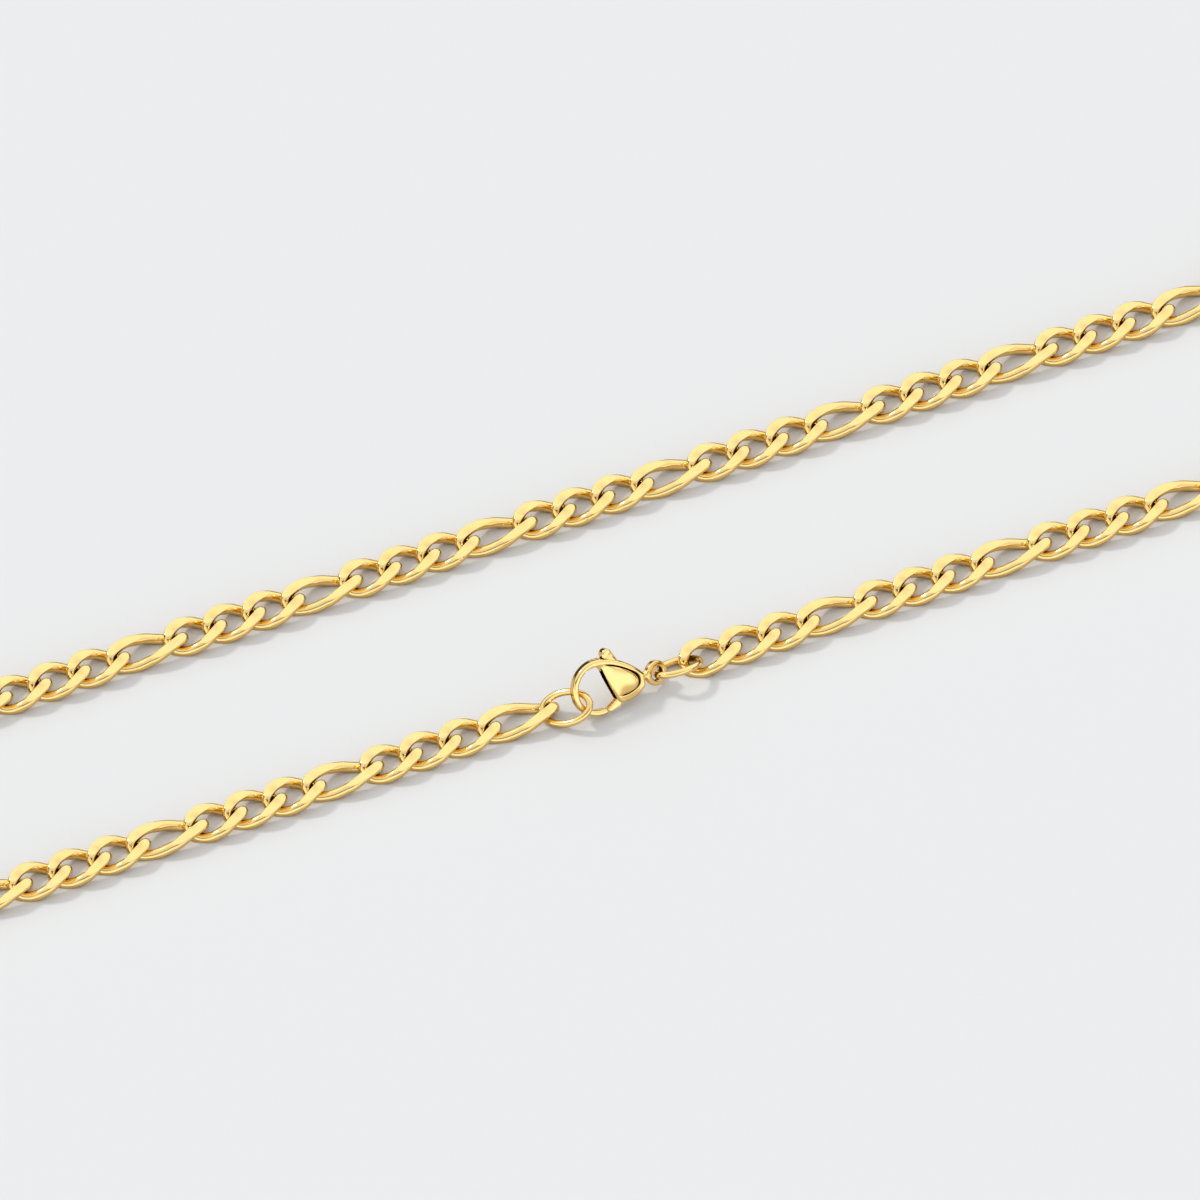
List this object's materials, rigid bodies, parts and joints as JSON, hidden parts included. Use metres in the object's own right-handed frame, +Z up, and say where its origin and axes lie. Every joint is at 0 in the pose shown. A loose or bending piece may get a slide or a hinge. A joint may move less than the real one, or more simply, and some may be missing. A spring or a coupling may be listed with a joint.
{
  "type": "figaro chain necklace",
  "caption": "Closed loop of flat figaro chain, short links and a long link by turns, with two oval jump rings and a lobster clasp whose sprung lever opens.",
  "frame": {"origin": "Under the middle of the loop, on the surface that the chain lies on.", "axes": "+X along the two straight strands, from the hook towards the eye of the clasp; +Y from the front strand, which holds the clasp, to the back strand; +Z up, through the thickness of the chain."},
  "size_m": [0.237, 0.0409, 0.0069],
  "materials": {
    "gold": "polished gold plating on stainless steel"
  },
  "bodies": {
    "necklace": {"chain_eye_side": "gold", "chain_hook_side": "gold", "eye_ring": "gold", "hook_ring": "gold", "clasp_body": "gold", "clasp_pin": "gold"},
    "lever": {"clasp_lever": "gold"}
  },
  "joints": [
    {"name": "lever_hinge", "type": "hinge", "parent": "necklace", "child": "lever", "pos_m": [-0.00206, -0.01459, 0.00179], "axis": [-0.149, 0.8493, -0.5064], "range_deg": [0, 20], "stiffness_Nm_per_rad": 0.01, "springref_deg": -17.19}
  ]
}
